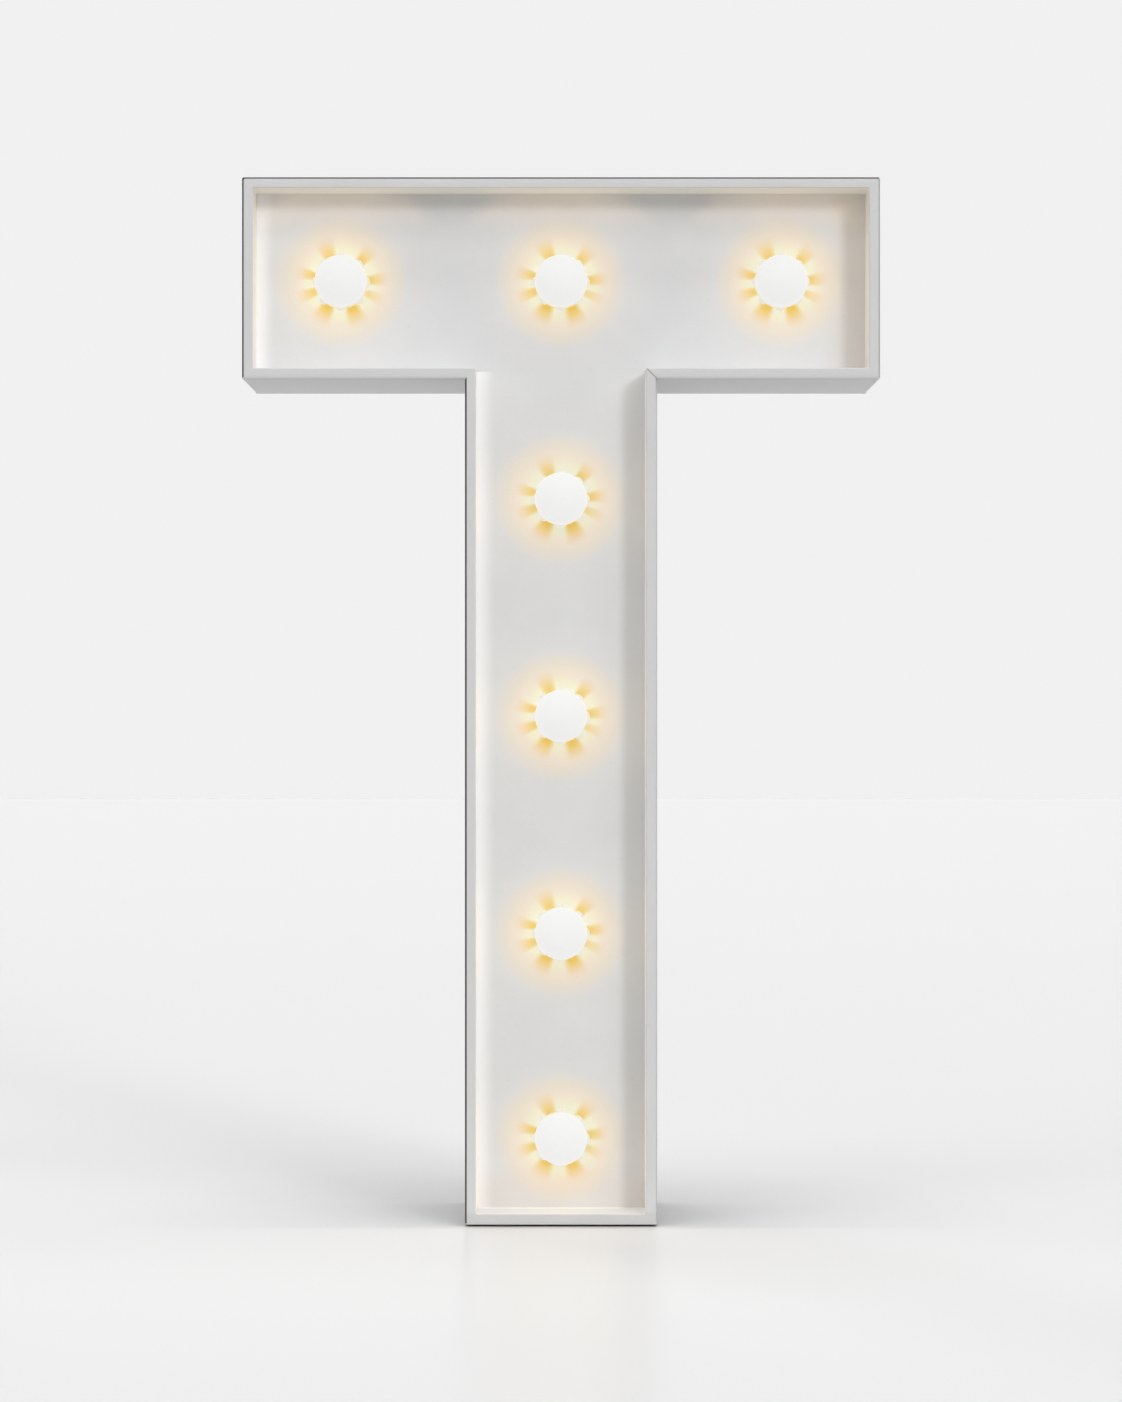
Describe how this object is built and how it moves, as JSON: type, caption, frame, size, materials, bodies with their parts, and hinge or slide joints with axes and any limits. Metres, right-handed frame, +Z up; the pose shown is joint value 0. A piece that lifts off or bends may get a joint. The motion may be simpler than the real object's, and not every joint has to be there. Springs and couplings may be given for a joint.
{
  "type": "light-up letter",
  "caption": "Free-standing light-up letter T: a raised rim round a set-back panel of glowing domed lamps, and a back cover with a battery door, slide switch and keyhole hanger.",
  "frame": {"origin": "middle of the letter's footprint, on the surface that it stands on", "axes": "+Z up the stem, +Y from the lit front to the back cover, +X to the right as seen from the front"},
  "size_m": [0.134, 0.045, 0.22],
  "materials": {
    "band_white": "satin",
    "panel_white": "satin",
    "cover_white": "fine texture",
    "cap_milky": "milky and lit",
    "ring_white": "satin",
    "led_clear": "clear and lit",
    "screw_steel": "zinc plated",
    "cell_jacket": "satin sleeve",
    "nickel_plate": "nickel plated",
    "spring_steel": "nickel plated",
    "can_steel": "tinned",
    "base_brown": "laminate",
    "knob_black": "satin",
    "wire_red": "satin",
    "wire_black": "satin",
    "resistor_tan": "lacquered"
  },
  "bodies": {
    "housing": {"side_band": "band_white", "face_panel": "panel_white", "back_cover": "cover_white", "cover_screws": "screw_steel", "battery_1": "cell_jacket", "battery_2": "cell_jacket", "contact_positive": "nickel_plate", "contact_negative": "nickel_plate", "contact_bridge": "nickel_plate", "contact_spring_1": "spring_steel", "contact_spring_2": "spring_steel", "switch_frame": "can_steel", "switch_base": "base_brown", "switch_terminals": "nickel_plate", "switch_screws": "screw_steel", "positive_bus": "wire_red", "negative_bus": "wire_black", "positive_lead": "wire_red", "negative_lead": "wire_black", "switch_lead": "wire_red", "resistor": "resistor_tan", "bulb_1": "cap_milky", "bulb_2": "cap_milky", "bulb_3": "cap_milky", "bulb_4": "cap_milky", "bulb_5": "cap_milky", "bulb_6": "cap_milky", "bulb_7": "cap_milky", "bulb_ring_1": "ring_white", "bulb_ring_2": "ring_white", "bulb_ring_3": "ring_white", "bulb_ring_4": "ring_white", "bulb_ring_5": "ring_white", "bulb_ring_6": "ring_white", "bulb_ring_7": "ring_white", "led_1": "led_clear", "led_2": "led_clear", "led_3": "led_clear", "led_4": "led_clear", "led_5": "led_clear", "led_6": "led_clear", "led_7": "led_clear"},
    "battery_door": {"battery_door": "cover_white"},
    "switch_slider": {"switch_slider": "knob_black", "switch_wiper": "nickel_plate"}
  },
  "joints": [
    {"name": "battery_door_hinge", "type": "hinge", "parent": "housing", "child": "battery_door", "pos_m": [0, 0.0211, 0.08685], "axis": [1, 0, 0], "range_deg": [0, 95]},
    {"name": "switch_slide", "type": "slide", "parent": "housing", "child": "switch_slider", "axis": [1, 0, 0], "range_m": [-0.004, 0]}
  ]
}
